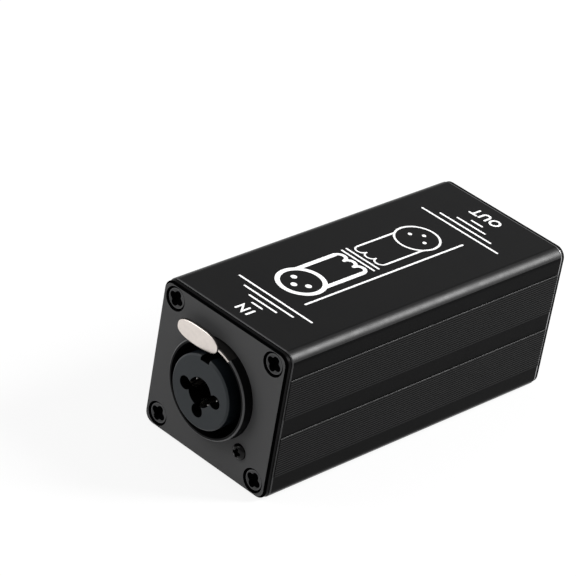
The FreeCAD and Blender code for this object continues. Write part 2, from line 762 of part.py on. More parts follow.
def output_insert():
    item = body("output_insert")
    profile = sketch(item, "YZ")
    polygon(profile, [(S.recess_deep, 0), (S.recess_deep, S.recess_radius), (S.shell_deep, S.recess_radius),
                      (S.shell_deep, 0)])
    revolve(item, profile)
    holes = sketch(item, "XZ", S.recess_deep)
    for x, z in plug_spots():
        circle(holes, x, z, S.pin_root_radius)
    pocket(item, holes, S.shell_deep - S.recess_deep)
    keep(item, at_plug)


def output_tail_deep(z):
    """The upper pin's tail comes down behind the others."""
    return S.output_tail_deep + (S.output_tail_step if as_size(z).value > 0 else 0)


def output_pin(number, x, z):
    """A round-nosed pin, with a tail behind the insert that turns down to the board."""
    deep, half, radius = output_tail_deep(z), S.tail_half, S.pin_radius
    nose = ball(x, S.pin_tip + radius, z, radius)
    shaft = rod(x, z, radius, (S.pin_tip + radius, S.recess_deep))
    root = rod(x, z, S.pin_root_radius, (S.recess_deep, S.shell_deep))
    link = box((x - half, x + half), (S.shell_deep, deep + half), (z - half, z + half))
    drop = box((x - half, x + half), (deep - half, deep + half), (S.tail_end, z))
    keep(fuse("output_pin_%d" % number, [nose, shaft, root, link, drop]), at_plug)


# Board and transformer, in a frame on the connectors' axis at the middle of the case

def at_middle(item):
    place(item, z=S.box_height / 2 + S.axis_lift)


def terminal_rows():
    across, pitch = S.bobbin_half - S.terminal_inset, S.terminal_pitch
    return [(side * across, S.core_y + pitch * step) for side in (-1, 1) for step in (-1.5, -0.5, 0.5, 1.5)]


def tail_spots():
    """Where the connectors' tails go through the board, with half their width and depth."""
    front, back = -S.box_length / 2, S.box_length / 2
    half, thin = S.tail_half, S.leaf_thick / 2
    away = S.tunnel_radius + S.contact_play + half
    leaf = S.tunnel_radius + thin
    down = front + S.socket_tail_deep
    spots = [(away, down, half, half), (-away, down, half, half), (0, down, half, half),
             (leaf, front + S.ring_contact_deep, thin, half), (-leaf, front + S.tip_contact_deep, thin, half),
             (S.bridge_end - S.finger_thick / 2, front + S.sleeve_contact_deep, S.finger_thick / 2, half)]
    for x, z in plug_spots():
        spots.append((-as_size(x), back - output_tail_deep(z), half, half))
    for x, y in terminal_rows():
        spots.append((x, y, S.terminal_half, S.terminal_half))
    return spots


def circuit_board():
    board = body("circuit_board")
    half = S.box_width / 2 - S.band_rise - S.tube_wall - S.board_side_play
    outline = sketch(board, "XY", S.board_top - S.board_thick)
    rectangle(outline, -half, half, -S.box_length / 2 + S.board_front, S.box_length / 2 - S.board_back)
    pad(board, outline, S.board_thick, inward=False)
    holes = sketch(board, "XY", S.board_top)
    for x, y, half_x, half_y in tail_spots():
        rectangle(holes, x - half_x, x + half_x, y - half_y, y + half_y)
    pocket(board, holes, S.board_thick)
    keep(board, at_middle)


def transformer():
    low = S.board_top + S.core_lift
    middle = low + S.core_tall / 2
    core(low, middle)
    bobbin(middle)
    winding("primary_winding", middle, S.bobbin_wall, S.primary_thick)
    winding("secondary_winding", middle, S.bobbin_wall + S.primary_thick, S.secondary_thick)
    pins = []
    for x, y in terminal_rows():
        pins.append(terminal(x, y, S.tail_end))
    group = doc.addObject("Part::Compound", "transformer_terminals")
    group.Links = pins
    doc.recompute()
    keep(group, at_middle)


def terminal(x, y, low):
    """A square post from the height given up into the bobbin's rail."""
    half = S.terminal_half
    return box((x - half, x + half), (y - half, y + half), (low, S.board_top + S.terminal_root))


def core(low, middle):
    """A stack of laminations: two windows either side of the leg that the bobbin sits on."""
    half_y, half_x = S.core_long / 2, S.core_thick / 2
    block = box((-half_x, half_x), (S.core_y - half_y, S.core_y + half_y), (low, low + S.core_tall))
    tall = (middle - S.window_tall / 2, middle + S.window_tall / 2)
    windows = []
    for near, far in ((S.core_leg / 2, S.core_leg / 2 + S.window_wide),
                      (-S.core_leg / 2 - S.window_wide, -S.core_leg / 2)):
        windows.append(box((-half_x - S.overshoot, half_x + S.overshoot), (S.core_y + near, S.core_y + far), tall))
    keep(cut("transformer_core", block, windows), at_middle)


def round_leg(half_x, grow, z):
    """A block round the core's leg: half_x each side along X, and grow past the leg along Y."""
    half_y = S.core_leg / 2 + grow
    return box((-half_x, half_x), (S.core_y - half_y, S.core_y + half_y), z)


def bobbin(middle):
    """A spool round the leg with a flange at each end, and a rail each side for the terminals."""
    half = S.window_tall / 2
    reach = S.window_wide - S.bobbin_side_play
    solids = [round_leg(S.core_thick / 2 + S.bobbin_wall, S.bobbin_wall, (middle - half, middle + half))]
    for low in (middle - half, middle + half - S.bobbin_flange):
        solids.append(round_leg(S.bobbin_half, reach, (low, low + S.bobbin_flange)))
    for side in (-1, 1):
        across = in_order(side * (S.core_thick / 2 + S.bobbin_rail_play), side * S.bobbin_half)
        half_y = S.core_leg / 2 + reach
        solids.append(box(across, (S.core_y - half_y, S.core_y + half_y), (S.board_top, middle - half)))
    holes = [round_leg(S.core_thick / 2, 0, (middle - half - S.overshoot, middle + half + S.overshoot))]
    for x, y in terminal_rows():
        holes.append(terminal(x, y, S.board_top))
    keep(cut("transformer_bobbin", fuse("bobbin_whole", solids), holes), at_middle)


def winding(label, middle, inner, thick):
    half = S.window_tall / 2 - S.bobbin_flange
    item = body(label)
    outline = sketch(item, "XY", middle - half)
    for grow in (inner + thick, inner):
        half_x, half_y = S.core_thick / 2 + grow, S.core_leg / 2 + grow
        rectangle(outline, -half_x, half_x, S.core_y - half_y, S.core_y + half_y)
    pad(item, outline, 2 * half, inward=False)
    corner = (S.core_thick / 2 + inner + thick).value - 1e-3
    soften(item, "Fillet", lambda edge: along_z(edge) and abs(edge.BoundBox.XMax) > corner, S.winding_corner)
    keep(item, at_middle)


def build():
    case_tube()
    end_plate("input_plate", at_input, input_fixing_spots())
    end_plate("output_plate", at_output, output_fixing_spots())
    screws()
    combo_housing()
    combo_insert()
    combo_latch()
    latch_spring()
    for number, (x, z) in enumerate(socket_spots(), start=1):
        socket_contact(number, x, z)
    side_contact("jack_ring_contact", 1, S.ring_contact_deep)
    side_contact("jack_tip_contact", -1, S.tip_contact_deep)
    sleeve_contact()
    output_housing()
    output_insert()
    for number, (x, z) in enumerate(plug_spots(), start=1):
        output_pin(number, x, z)
    circuit_board()
    transformer()
    doc.recompute()


def check():
    for item in doc.Objects:
        if "Invalid" in item.State or "Error" in item.State:
            raise RuntimeError("%s failed: %s" % (item.Label, item.State))
    for name, item in PARTS.items():
        if item.Shape.isNull() or not item.Shape.isValid() or not item.Shape.Solids:
            raise RuntimeError("%s has no valid solid" % name)


def export():
    os.makedirs("parts", exist_ok=True)
    for name, item in PARTS.items():
        item.Shape.exportStep("parts/%s.step" % name)
        print(name, len(item.Shape.Solids), round(item.Shape.Volume, 1))


build()
check()
export()
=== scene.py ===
import math

import bmesh
import bpy
from mathutils import Matrix, Vector


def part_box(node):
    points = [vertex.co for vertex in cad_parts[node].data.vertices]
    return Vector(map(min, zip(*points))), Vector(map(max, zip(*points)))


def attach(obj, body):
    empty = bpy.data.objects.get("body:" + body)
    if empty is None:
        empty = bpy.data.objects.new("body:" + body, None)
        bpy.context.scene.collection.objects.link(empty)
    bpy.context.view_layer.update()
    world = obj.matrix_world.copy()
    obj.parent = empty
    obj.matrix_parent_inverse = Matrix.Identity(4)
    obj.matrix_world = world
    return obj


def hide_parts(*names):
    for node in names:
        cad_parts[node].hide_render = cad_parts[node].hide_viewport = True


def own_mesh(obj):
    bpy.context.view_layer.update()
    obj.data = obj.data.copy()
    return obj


# Ground loop isolator: finishes, softened edges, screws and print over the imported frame, on a pale floor.
# The frame, floor and lamps are in metres. Other sizes are in millimetres, and MM turns them into metres.

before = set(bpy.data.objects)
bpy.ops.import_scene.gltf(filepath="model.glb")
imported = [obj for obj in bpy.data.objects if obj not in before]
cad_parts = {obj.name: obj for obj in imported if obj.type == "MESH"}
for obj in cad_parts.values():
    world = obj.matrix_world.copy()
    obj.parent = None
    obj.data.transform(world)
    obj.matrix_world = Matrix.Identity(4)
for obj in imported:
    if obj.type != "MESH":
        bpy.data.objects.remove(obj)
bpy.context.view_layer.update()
MM = 0.001

tube_low, tube_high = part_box("case_tube")
insert_low, insert_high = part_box("combo_insert")
FACE = Vector((0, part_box("input_plate")[0].y, (tube_low.z + tube_high.z) / 2))
BACK_FACE = Vector((0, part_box("output_plate")[1].y, FACE.z))
AXIS_LIFT = ((insert_low.z + insert_high.z) / 2 - FACE.z) / MM


def end_frame(face, angle):
    """From an end plate's own frame, in millimetres with y into the case, to the frame."""
    turn = Matrix.Rotation(math.radians(angle), 4, "Z")
    return Matrix.Translation(face) @ turn @ Matrix.Scale(MM, 4)


INPUT = end_frame(FACE, 0)
OUTPUT = end_frame(BACK_FACE, 180)


# Camera, as the photograph's: turned round the object, raised, and rolled about its own axis

VIEW_AZIMUTH = 40.382
VIEW_ELEVATION = 30.004
VIEW_ROLL = 10.062
VIEW_RIGHT = 15.937 * MM
VIEW_UP = 21.812 * MM
VIEW_DISTANCE = 684.072 * MM
LENS = 199.0
SENSOR = 36.0
NEAREST = 0.01
FARTHEST = 20.0


def view_axes(azimuth, elevation, roll):
    """The camera's right, up and backward directions."""
    a, e, r = (math.radians(angle) for angle in (azimuth, elevation, roll))
    back = Vector((math.sin(a) * math.cos(e), -math.cos(a) * math.cos(e), math.sin(e)))
    level = Vector((math.cos(a), math.sin(a), 0))
    upright = back.cross(level)
    return (math.cos(r) * level + math.sin(r) * upright,
            math.cos(r) * upright - math.sin(r) * level, back)


def add_camera():
    right, up, back = view_axes(VIEW_AZIMUTH, VIEW_ELEVATION, VIEW_ROLL)
    data = bpy.data.cameras.new("camera")
    data.lens = LENS
    data.sensor_width = SENSOR
    data.clip_start = NEAREST
    data.clip_end = FARTHEST
    camera = bpy.data.objects.new("camera", data)
    bpy.context.scene.collection.objects.link(camera)
    place = FACE + VIEW_RIGHT * right + VIEW_UP * up + VIEW_DISTANCE * back
    turn = Matrix((right, up, back)).transposed().to_4x4()
    camera.matrix_world = Matrix.Translation(place) @ turn
    bpy.context.scene.camera = camera


# Material nodes

NOISE_ROUGHNESS = 0.6
NOISE_LOW = 0.3
NOISE_HIGH = 0.7
PATCH_DETAIL = 3.0
GRAIN_DETAIL = 4.0
STREAK_DETAIL = 2.0


def new_node(tree, kind, settings=None, **inputs):
    """A node with its settings, and with each input either linked or given a value.

    An input goes by its name, or by an i and its number where several have one name."""
    node = tree.nodes.new(kind)
    for name, value in (settings or {}).items():
        setattr(node, name, value)
    for name, value in inputs.items():
        socket = node.inputs[int(name[1:])] if name[0] == "i" and name[1:].isdigit() else node.inputs[name]
        if isinstance(value, bpy.types.NodeSocket):
            tree.links.new(value, socket)
        else:
            socket.default_value = value
    return node


def noise(tree, place, scale, detail, stretch=(1, 1, 1)):
    """Noise in the object's own space, with features about 1 / scale metres wide."""
    mapping = new_node(tree, "ShaderNodeMapping", Vector=place, Scale=stretch)
    return new_node(tree, "ShaderNodeTexNoise", Vector=mapping.outputs[0], Scale=scale,
                    Detail=detail, Roughness=NOISE_ROUGHNESS).outputs[0]


def spread(tree, value, low, high):
    """Maps the middle of a noise's range to low and high."""
    return new_node(tree, "ShaderNodeMapRange", Value=value, **{
        "From Min": NOISE_LOW, "From Max": NOISE_HIGH, "To Min": low, "To Max": high}).outputs[0]


def shade(colour, factor):
    """A lighter or darker colour, with its alpha."""
    return tuple(min(1.0, part * factor) for part in colour) + (1.0,)


def material(name, colour, rough, metal=0.0, gloss=0.5, vary=0.12, grain=(2600, 0.012), patch=160,
             streak=None, rough_vary=0.05):
    """A finish: colour and roughness that drift over patches, with a fine grain and optional streaks.

    patch is the number of patches per metre. grain is (features per metre, height in millimetres), and
    streak is the same with the stretch along each axis."""
    made = bpy.data.materials.new(name)
    made.use_nodes = True
    tree = made.node_tree
    tree.nodes.clear()
    place = new_node(tree, "ShaderNodeTexCoord").outputs["Object"]
    drift = noise(tree, place, patch, PATCH_DETAIL)
    fleck = noise(tree, place, grain[0], GRAIN_DETAIL)
    tint = new_node(tree, "ShaderNodeMix", {"data_type": "RGBA"}, Factor=drift,
                    i6=shade(colour, 1 - vary), i7=shade(colour, 1 + vary)).outputs[2]
    bump = new_node(tree, "ShaderNodeBump", Height=fleck, Strength=1.0, Distance=grain[1] * MM)
    if streak:
        lines = noise(tree, place, streak[0], STREAK_DETAIL, streak[2])
        bump = new_node(tree, "ShaderNodeBump", Height=lines, Strength=1.0, Distance=streak[1] * MM,
                        Normal=bump.outputs[0])
    shader = new_node(tree, "ShaderNodeBsdfPrincipled", Metallic=metal, Normal=bump.outputs[0],
                      Roughness=spread(tree, drift, rough - rough_vary, rough + rough_vary),
                      **{"Base Color": tint, "Specular IOR Level": gloss})
    out = new_node(tree, "ShaderNodeOutputMaterial", Surface=shader.outputs[0])
    out.is_active_output = True
    return made


# Finishes: grains as features per metre and their height in millimetres, then the finishes themselves

ANODISED = (5200, 0.0010)
BLASTED = (4200, 0.0025)
MOULDED = (3600, 0.0015)
TEXTURED = (3600, 0.003)
TURNED = (3000, 0.002)
POLISHED = (3000, 0.001)
STAMPED = (1400, 0.016)
PRINTED = (5200, 0.002)
LENGTHWAYS = (1, 0.01, 1)

case_black = material("case_black", (0.0055, 0.0055, 0.0057), 0.36, gloss=0.095, grain=ANODISED,
                      streak=(2600, 0.0010, LENGTHWAYS), rough_vary=0.015)
# The next finish is a darker, duller copy of the case's black: painted shade on the tube's flat sides and
# in the rib grooves.
side_painted_shade = material("side_painted_shade", (0.0030, 0.0030, 0.0031), 0.38, gloss=0.024, grain=ANODISED)
# The next finish is a lighter copy of the case's black: painted light on the ribbed bands.
band_painted_light = material("band_painted_light", (0.0074, 0.0074, 0.0076), 0.36, gloss=0.076, grain=ANODISED)
# The next finish is a glossier copy of the case's black: painted highlight on the long rounded edges and on
# the ribbed bands' upper edges.
edge_painted_sheen = material("edge_painted_sheen", (0.0055, 0.0055, 0.0057), 0.41, gloss=0.25, grain=ANODISED,
                      streak=(2600, 0.0008, LENGTHWAYS))
# The next finish is painted highlight on the tube's rounded rim by the input end.
edge_painted_highlight = material("edge_painted_highlight", (0.030, 0.030, 0.031), 0.34, gloss=0.3)
# The next finish is a bright metal strip of painted highlight on the output plate's bevel where it meets
# the tube.
seam_painted_highlight = material("seam_painted_highlight", (0.36, 0.36, 0.365), 0.34, metal=1.0, vary=0.04)
plate_grey = material("plate_grey", (0.074, 0.074, 0.075), 0.50, gloss=0.10, vary=0.04, grain=BLASTED)
# The next finish is painted shade on the end plates' flat sides.
plate_edge_painted_shade = material("plate_edge_painted_shade", (0.0035, 0.0035, 0.0036), 0.36, gloss=0.022)
screw_black = material("screw_black", (0.024, 0.024, 0.025), 0.36, gloss=0.30, grain=TURNED)
# The next finish is a lighter, glossier copy of the screws' black: painted highlight on the corner screws'
# rounded rims.
screw_rim_painted_highlight = material("screw_rim_painted_highlight", (0.060, 0.060, 0.062), 0.36, gloss=0.40, grain=TURNED)
dome_black = material("dome_black", (0.0025, 0.0025, 0.0026), 0.14, gloss=0.14, grain=POLISHED)
# The next finish is black painted shade: in the countersinks, the screws' recesses, the insert's bores, the
# plates' holes and round the tube's ends.
painted_shade_black = material("painted_shade_black", (0.0012, 0.0012, 0.0013), 0.6, gloss=0.0)
housing_black = material("housing_black", (0.0035, 0.0035, 0.0038), 0.34, gloss=0.06, grain=MOULDED)
# The next finish is painted highlight on the combo ring's sloping front rim.
ring_rim_painted_highlight = material("ring_rim_painted_highlight", (0.060, 0.060, 0.062), 0.36, gloss=0.4, grain=MOULDED)
insert_grey = material("insert_grey", (0.032, 0.036, 0.039), 0.50, gloss=0.14, vary=0.04, grain=TEXTURED)
# The next finish is a darker copy of the insert's grey: painted shade on the insert's outside.
insert_side_painted_shade = material("insert_side_painted_shade", (0.0045, 0.0060, 0.0075), 0.40, gloss=0.05, grain=MOULDED)
latch_silver = material("latch_silver", (0.73, 0.67, 0.625), 0.38, metal=1.0, grain=STAMPED, patch=900)
latch_shade = material("latch_shade", (0.05, 0.047, 0.045), 0.45, metal=1.0)
steel = material("steel", (0.55, 0.55, 0.55), 0.32, metal=1.0)
contact_silver = material("contact_silver", (0.62, 0.61, 0.59), 0.18, metal=1.0, grain=TURNED)
shell_grey = material("shell_grey", (0.050, 0.050, 0.051), 0.42, gloss=0.3, grain=TEXTURED)
pin_block = material("pin_block", (0.010, 0.010, 0.011), 0.5, gloss=0.1)
gilt = material("gilt", (0.90, 0.68, 0.30), 0.16, metal=1.0, vary=0.03, grain=POLISHED, rough_vary=0.02)
board_green = material("board_green", (0.02, 0.10, 0.035), 0.35)
core_grey = material("core_grey", (0.20, 0.20, 0.21), 0.45, metal=1.0, streak=(900, 0.02, (1, 0.02, 0.02)))
bobbin_cream = material("bobbin_cream", (0.60, 0.57, 0.48), 0.45)
copper = material("copper", (0.60, 0.22, 0.10), 0.30, metal=1.0, streak=(1500, 0.05, (0.02, 0.02, 1)))
ink_white = material("ink_white", (0.86, 0.86, 0.86), 0.55, gloss=0.3, vary=0.02, grain=PRINTED)

FINISHES = {
    "case_tube": case_black, "input_plate": plate_grey, "output_plate": plate_grey,
    "input_plate_screws": screw_black, "output_plate_screws": screw_black,
    "input_fixing": screw_black, "output_fixings": screw_black,
    "combo_housing": housing_black, "combo_insert": insert_grey, "combo_latch": latch_silver,
    "latch_spring": steel, "socket_contact_1": contact_silver, "socket_contact_2": contact_silver,
    "socket_contact_3": contact_silver, "jack_ring_contact": contact_silver,
    "jack_tip_contact": contact_silver, "jack_sleeve_contact": contact_silver,
    "output_housing": shell_grey, "output_insert": pin_block, "output_pin_1": gilt,
    "output_pin_2": gilt, "output_pin_3": gilt, "circuit_board": board_green,
    "transformer_core": core_grey, "transformer_bobbin": bobbin_cream, "primary_winding": copper,
    "secondary_winding": copper, "transformer_terminals": contact_silver,
}


def finish_nodes():
    """Gives each node of the frame its finish."""
    for node, finish in FINISHES.items():
        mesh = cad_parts[node].data
        mesh.materials.clear()
        mesh.materials.append(finish)
        for face in mesh.polygons:
            face.material_index = 0


# Meshes

def new_piece(name, work, finishes, nodes=(), body="case", sharp=32):
    """Turns the bmesh into a piece that rides on a body and stands for the nodes."""
    mesh = bpy.data.meshes.new(name)
    work.to_mesh(mesh)
    work.free()
    for face in mesh.polygons:
        face.use_smooth = True
    mesh.set_sharp_from_angle(angle=math.radians(sharp))
    piece = bpy.data.objects.new(name, mesh)
    bpy.context.scene.collection.objects.link(piece)
    for finish in finishes:
        mesh.materials.append(finish)
    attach(piece, body)
    if nodes:
        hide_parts(*nodes)
    return piece


def loft(work, loops, start_cap=True, end_cap=True, joined=False, choose=None):
    """Joins loops that have as many points each. A loop is (points, the finish of the strip up to it).

    choose gives another finish from a face's middle, where it gives one at all."""
    rings = [([work.verts.new(point) for point in points], finish) for points, finish in loops]
    pairs = list(zip(rings, rings[1:]))
    if joined:
        pairs.append((rings[-1], rings[0]))
    for (one, _), (two, finish) in pairs:
        for first in range(len(one)):
            second = (first + 1) % len(one)
            face = work.faces.new((one[first], one[second], two[second], two[first]))
            own = choose(face.calc_center_median()) if choose else None
            face.material_index = finish if own is None else own
    for wanted, (ring, finish) in ((start_cap, rings[0]), (end_cap, rings[-1])):
        if wanted and not joined:
            work.faces.new(ring).material_index = finish


MERGE = 0.002
FLAT_WITHIN = math.radians(0.6)
SHARP_FROM = math.radians(24)
RIM_STEPS = 2


def clean_copy(node):
    """The node's solid as a bmesh with shared corners and whole flat faces."""
    work = bmesh.new()
    work.from_mesh(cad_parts[node].data)
    bmesh.ops.remove_doubles(work, verts=work.verts, dist=MERGE * MM)
    bmesh.ops.dissolve_limit(work, angle_limit=FLAT_WITHIN, verts=work.verts, edges=work.edges)
    return work


def middle(edge):
    return (edge.verts[0].co + edge.verts[1].co) / 2


def weigh_normals(piece):
    """Shades narrow rims by the large flat faces beside them."""
    weigh = piece.modifiers.new("weigh", "WEIGHTED_NORMAL")
    weigh.keep_sharp = True


def softened(node, finishes, rims, choose=None):
    """Stands for a node: its own solid, with the sharp edges rounded that each (width, picker) picks.

    choose gives the number of a face's finish."""
    work = clean_copy(node)
    for width, wanted in rims:
        picked = [edge for edge in work.edges if len(edge.link_faces) == 2
                  and edge.calc_face_angle(0) > SHARP_FROM and wanted(middle(edge))]
        bmesh.ops.bevel(work, geom=picked, offset=width * MM, offset_type="OFFSET", segments=RIM_STEPS,
                        profile=0.5, affect="EDGES", clamp_overlap=True)
    for face in work.faces:
        face.material_index = choose(face) if choose else 0
    weigh_normals(new_piece(node + "_soft", work, finishes, (node,)))


# Case: a rounded tube with a soft edge at each end, and ribbed bands along its sides

TUBE_END = (tube_high.y - tube_low.y) / 2 / MM
TUBE_SIDE = tube_high.x / MM
TUBE_TOP = (tube_high.z - tube_low.z) / 2 / MM
WALL = 2.0
LONG_EDGE = 2.8
END_EDGE = 0.35
EDGE_STEPS = 3
INNER_EDGE = 0.3
BAND_RISE = 0.2
BAND_LOW = 2.3
BAND_HIGH = 12.3
BAND_EDGE = 0.035
RIB_PITCH = 0.6
RIB_COUNT = 16
RIB_GAP = 0.30
RIB_DEEP = 0.08
SIDE_LEAN = 18
TOP_LEAN = 74
TUBE_FINISHES = (case_black, side_painted_shade, edge_painted_sheen, band_painted_light, edge_painted_highlight, painted_shade_black)
TOP_SKIN, SIDE_PAINTED_SHADE, EDGE_PAINTED_SHEEN, RIB_PAINTED_LIGHT, PAINTED_HIGHLIGHT_RIM, PAINTED_SHADE_RIM = range(len(TUBE_FINISHES))


def rounded_rectangle(half_x, half_z, radius, y, steps=14):
    """Points round a rectangle with round corners, at the depth y."""
    points = []
    for number, (sx, sz) in enumerate(((1, 1), (-1, 1), (-1, -1), (1, -1))):
        for step in range(steps + 1):
            angle = math.pi / 2 * (number + step / steps)
            points.append(Vector((sx * (half_x - radius) + radius * math.cos(angle), y,
                                  sz * (half_z - radius) + radius * math.sin(angle))))
    return points


def add_tube():
    work = bmesh.new()
    side = TUBE_SIDE - BAND_RISE
    ends = []
    for step in range(EDGE_STEPS + 1):
        angle = math.pi / 2 * step / EDGE_STEPS
        ends.append((END_EDGE * (1 - math.sin(angle)), TUBE_END - END_EDGE * (1 - math.cos(angle))))
    # The input end's rounding is painted shade at its outer part and painted highlight where it meets the
    # sides; the output end's rounding and both end faces are painted shade.
    near = (PAINTED_SHADE_RIM, PAINTED_SHADE_RIM, PAINTED_HIGHLIGHT_RIM, PAINTED_HIGHLIGHT_RIM)
    outer = [(rounded_rectangle(side - inset, TUBE_TOP - inset, LONG_EDGE - inset, -y), finish)
             for (inset, y), finish in zip(ends, near)]
    outer += [(rounded_rectangle(side - inset, TUBE_TOP - inset, LONG_EDGE - inset, y), PAINTED_SHADE_RIM)
              for inset, y in reversed(ends)]
    inner = [(rounded_rectangle(side - WALL, TUBE_TOP - WALL, INNER_EDGE, y), finish)
             for y, finish in ((TUBE_END, PAINTED_SHADE_RIM), (-TUBE_END, TOP_SKIN))]

    def skin(spot):
        """The side's darker finish of painted shade, the edge's glossier one of painted highlight, or the
        top's, by how far a lengthwise face leans over.
        """
        if abs(spot.y) > TUBE_END / 2:
            return None
        over = abs(spot.z) - (TUBE_TOP - LONG_EDGE)
        out = abs(spot.x) - (side - LONG_EDGE)
        lean = math.degrees(math.atan2(max(over, 0), max(out, 0)))
        if lean < SIDE_LEAN:
            return SIDE_PAINTED_SHADE
        return EDGE_PAINTED_SHEEN if lean < TOP_LEAN else TOP_SKIN
    loft(work, outer + inner, joined=True, choose=skin)
    for sx in (-1, 1):
        for low, high in ((BAND_LOW, BAND_HIGH), (-BAND_HIGH, -BAND_LOW)):
            add_band(work, sx, side, low, high)
    bmesh.ops.recalc_face_normals(work, faces=work.faces)
    work.transform(Matrix.Translation((0, 0, FACE.z)) @ Matrix.Scale(MM, 4))
    piece = new_piece("case_tube_soft", work, TUBE_FINISHES, ("case_tube",), sharp=40)
    weigh_normals(piece)


def add_band(work, sx, side, low, high):
    """A band of fine lengthwise ribs that stands a little proud of the tube's side."""
    face = side + BAND_RISE
    outline = [(side - WALL / 2, low), (face - BAND_EDGE, low), (face, low + BAND_EDGE)]
    first = (low + high) / 2 - RIB_PITCH * (RIB_COUNT - 1) / 2
    for number in range(RIB_COUNT):
        z = first + RIB_PITCH * number
        outline += [(face, z - RIB_GAP / 2), (face - RIB_DEEP, z), (face, z + RIB_GAP / 2)]
    outline += [(face, high - BAND_EDGE), (face - BAND_EDGE, high), (side - WALL / 2, high)]

    def colour(spot):
        """The upper edge's glossy finish of painted highlight, the grooves' darker one of painted shade, or
        the ribs' lighter one of painted light.
        """
        if high - BAND_EDGE < spot.z < high:
            return EDGE_PAINTED_SHEEN
        return SIDE_PAINTED_SHADE if face - RIB_DEEP < abs(spot.x) < face - RIB_DEEP / 4 else RIB_PAINTED_LIGHT
    end = TUBE_END - END_EDGE
    loops = [([Vector((sx * x, y, z)) for x, z in outline], RIB_PAINTED_LIGHT) for y in (-end, end)]
    loft(work, loops, choose=colour)


# End plates: a grey front, with painted shade on the sides, rounded rims, countersinks and holes, and
# painted highlight on the output plate's bevel by the tube

SCREW_X = 15.2
SCREW_Z = 14.8
SCREW_SPOTS = [(sx * SCREW_X, sz * SCREW_Z) for sx in (-1, 1) for sz in (-1, 1)]
COUNTERSINK = 3.1
OUTLINE_X = 17.5
OUTLINE_Z = 16.5
PLATE_RIM = 0.14
FAR_RIM = 0.28
SEAM_REACH = 0.1
OUTER_EDGE = 1.0
FRONT_LEAN = 0.85
SINK_LEAN = 0.97
EDGE_LEAN = 0.1
SEAM_LEAN = -0.9
PLATE_FINISHES = (plate_grey, plate_edge_painted_shade, painted_shade_black, seam_painted_highlight)
PLATE_FRONT, PLATE_EDGE_SHADE, PLATE_PAINTED_SHADE, PLATE_SEAM_HIGHLIGHT = range(len(PLATE_FINISHES))


def in_sink(point):
    """Whether a point of an end plate lies in a countersink."""
    return any(math.hypot(point.x / MM - x, (point.z - FACE.z) / MM - z) < COUNTERSINK
               for x, z in SCREW_SPOTS)


def near_outline(point):
    """Whether a point of an end plate lies by its outline."""
    return (abs(point.x) > OUTLINE_X * MM or abs(point.z - FACE.z) > OUTLINE_Z * MM) and not in_sink(point)


def near_seam(point):
    """Whether a point of the output plate lies by its outline, where the plate meets the tube."""
    return near_outline(point) and point.y < tube_high.y + SEAM_REACH * MM


def near_front(point):
    """Whether a point of the output plate lies by its outline, clear of the tube."""
    return near_outline(point) and point.y > tube_high.y + OUTER_EDGE * MM


def add_plate(node, outward, rims):
    """An end plate whose front looks along y, or against it where outward is -1."""
    # The front is grey; the flat sides take a dark finish of painted shade, the rounded rims, countersinks
    # and holes a black one; the output plate's bevel by the tube takes painted highlight.
    def colour(face):
        spot = face.calc_center_median()
        lean = face.normal.y * outward
        if lean > (SINK_LEAN if in_sink(spot) else FRONT_LEAN):
            return PLATE_FRONT
        if near_outline(spot) and abs(lean) < EDGE_LEAN:
            return PLATE_EDGE_SHADE
        if near_outline(spot) and outward > 0 and SEAM_LEAN < lean < 0:
            return PLATE_SEAM_HIGHLIGHT
        return PLATE_PAINTED_SHADE
    softened(node, PLATE_FINISHES, rims, choose=colour)


def add_plates():
    add_plate("input_plate", -1, [(PLATE_RIM, near_outline)])
    add_plate("output_plate", 1, [(FAR_RIM, near_seam), (PLATE_RIM, near_front)])


# Screws: countersunk ones with a rimmed head at the plates' corners, and domed ones beside the connectors,
# with painted shade in their recesses and painted highlight on the corner heads' rims

HEAD = 2.4
SUNK = 0.3
SHANK = 1.5
SCREW_END = 8.5
HEAD_RIM = 0.16
HEAD_FLAT = 0.1
HEAD_STEPS = 4
HEAD_POINTS = 112
CROSS_REACH = 1.95
CROSS_HALF = 0.78
CROSS_TURN = -20.0
CROSS_DEEP = 0.9
FIXING_HEAD = 1.9
FIXING_TALL = 1.1
FIXING_SEAT = 0.02
FIXING_END = 3.4
FIXING_SHANK = 1.2
FIXING_SPOT = (10.15, 10.9)
FIXING_REACH = 1.15
FIXING_HALF = 0.38
DOME_ANGLE = 9
DOME_STEPS = 6
DOME_POINTS = 72
# RECESS is the black finish of painted shade in the recesses, RIM the lighter one of painted highlight on
# the corner heads' rims.
BARE, RECESS, RIM = range(3)

# The recesses from their rims down: each loop's scale, growth and depth, and its strip's finish
CROSS_LEVELS = ((1, 0.10, 0, BARE), (1, 0.05, 0.02, BARE), (1, 0, 0.08, RECESS), (0.97, 0, 0.25, RECESS),
                (0.72, 0, CROSS_DEEP, RECESS), (0.3, 0, CROSS_DEEP + 0.2, RECESS))
FIXING_LEVELS = ((1, 0.05, 0, BARE), (1, 0, 0.05, BARE), (0.85, 0, 0.7, RECESS), (0.3, 0, 0.8, RECESS))


def lobe_edge(angle, reach, half):
    """How far a round-ended bar through the centre reaches at this angle from its length."""
    along, across = abs(math.cos(angle)), abs(math.sin(angle))
    straight = reach - half
    if across > 1e-9 and half / across * along <= straight:
        return half / across
    return straight * along + math.sqrt(max(half ** 2 - (straight * across) ** 2, 0))


def cross_edge(angle, reach, half, roundness=3.2):
    """The outline of a cross recess, with its inner corners softened."""
    one = lobe_edge(angle, reach, half)
    two = lobe_edge(angle + math.pi / 2, reach, half)
    return (one ** roundness + two ** roundness) ** (1 / roundness)


def around(count):
    return [2 * math.pi * step / count for step in range(count)]


def disc(spot, radius, y, count):
    return [Vector((spot[0] + radius * math.cos(a), y, spot[1] + radius * math.sin(a)))
            for a in around(count)]


